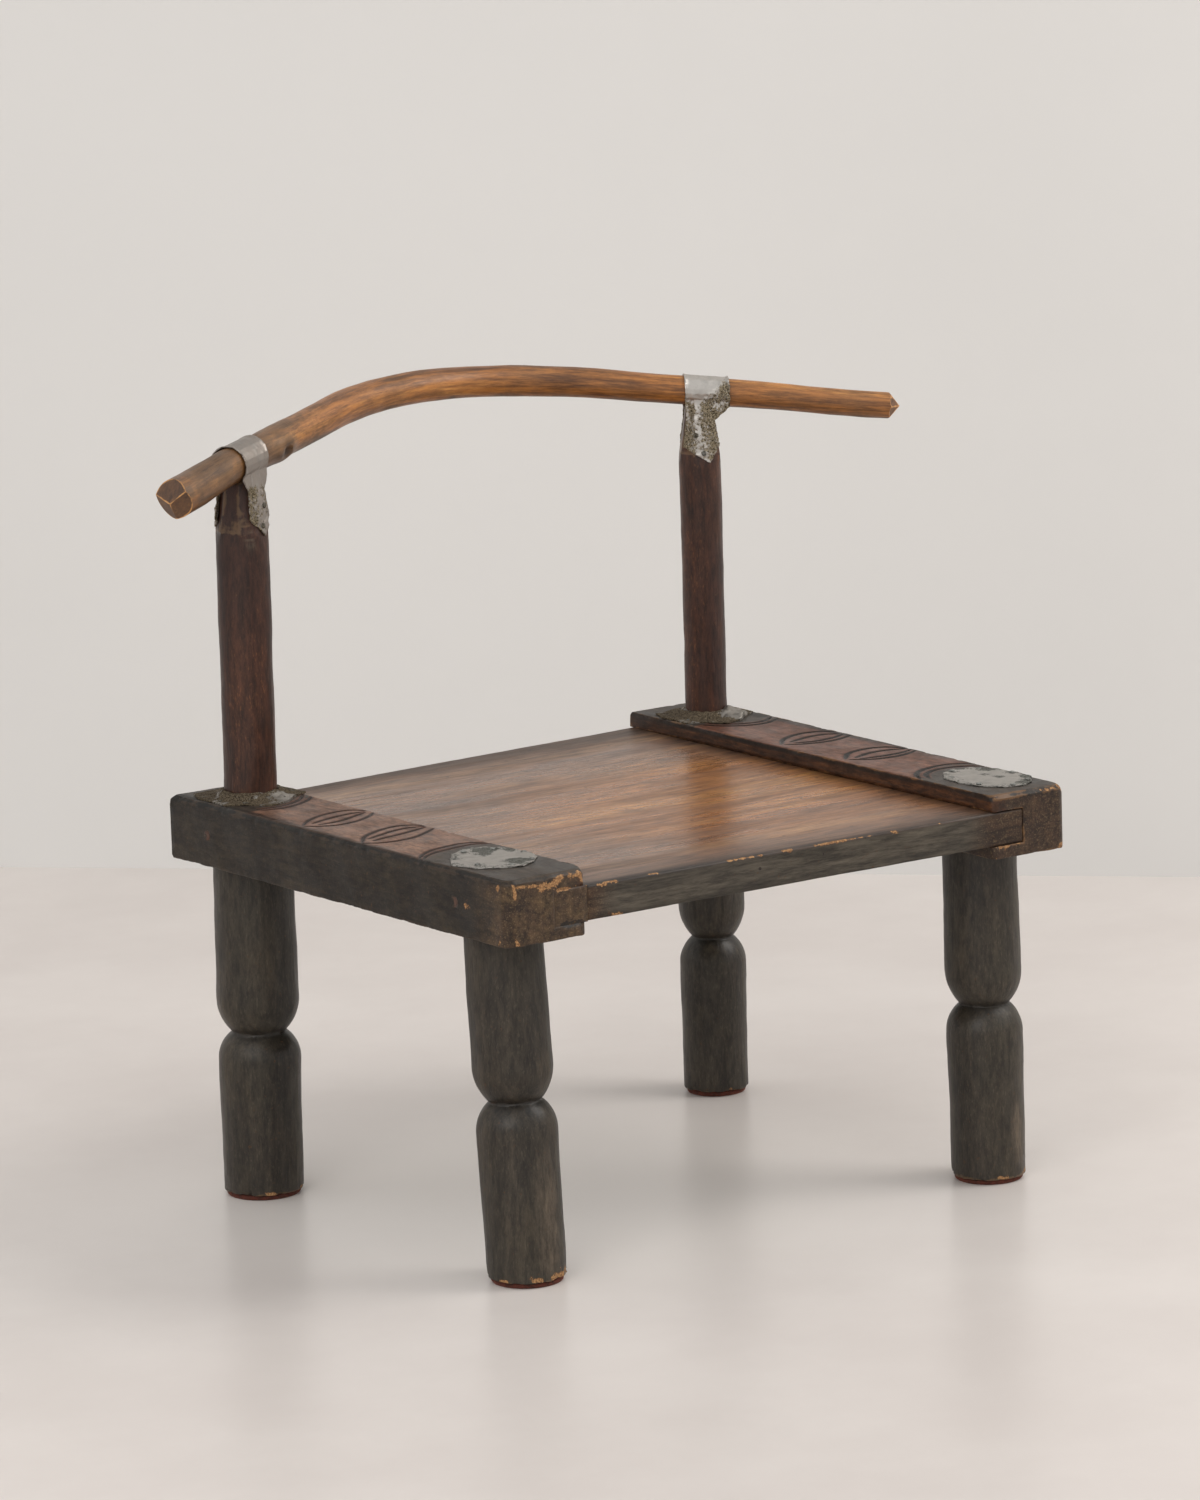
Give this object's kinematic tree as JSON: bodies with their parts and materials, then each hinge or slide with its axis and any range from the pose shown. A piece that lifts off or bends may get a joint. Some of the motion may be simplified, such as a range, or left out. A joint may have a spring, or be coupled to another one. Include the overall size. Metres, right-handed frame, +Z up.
{
  "type": "african birthing chair",
  "caption": "Low hand-made wooden chair: plank seat housed in two side rails on turned legs, rear posts carrying a bent branch backrest with sheet metal straps.",
  "frame": {"origin": "on the floor, under the middle of the whole chair's outline", "axes": "+Z up, the sitter faces -Y, +X towards the right side of the chair as seen from its front"},
  "size_m": [0.6758, 0.4988, 0.5923],
  "materials": {
    "seat_wood": "waxed, worn, satin sheen",
    "rail_wood": "dark stain, rubbed through at the edges",
    "leg_wood": "dark stain, matt to satin",
    "bow_wood": "handled, satin",
    "peg_wood": "dark, matt",
    "sheet_metal": "hammered thin sheet, dull and pitted",
    "collar_metal": "crumpled thin sheet, blackened",
    "nail_iron": "hammered heads, dull",
    "pad_felt": "dense felt, matt"
  },
  "bodies": {
    "root": {"back_bow": "bow_wood", "collar_left": "collar_metal", "collar_nails_left": "nail_iron", "collar_nails_right": "nail_iron", "collar_right": "collar_metal", "foot_pad_front_left": "pad_felt", "foot_pad_front_right": "pad_felt", "foot_pad_rear_left": "pad_felt", "foot_pad_rear_right": "pad_felt", "front_leg_left": "leg_wood", "front_leg_right": "leg_wood", "patch_left": "sheet_metal", "patch_nails_left": "nail_iron", "patch_nails_right": "nail_iron", "patch_right": "sheet_metal", "peg_front_left": "peg_wood", "peg_front_right": "peg_wood", "peg_rear_left": "peg_wood", "peg_rear_right": "peg_wood", "rail_left": "rail_wood", "rail_right": "rail_wood", "rear_leg_left": "leg_wood", "rear_leg_right": "leg_wood", "seat_board": "seat_wood", "strap_left": "sheet_metal", "strap_nails_left": "nail_iron", "strap_nails_right": "nail_iron", "strap_right": "sheet_metal"}
  },
  "joints": []
}
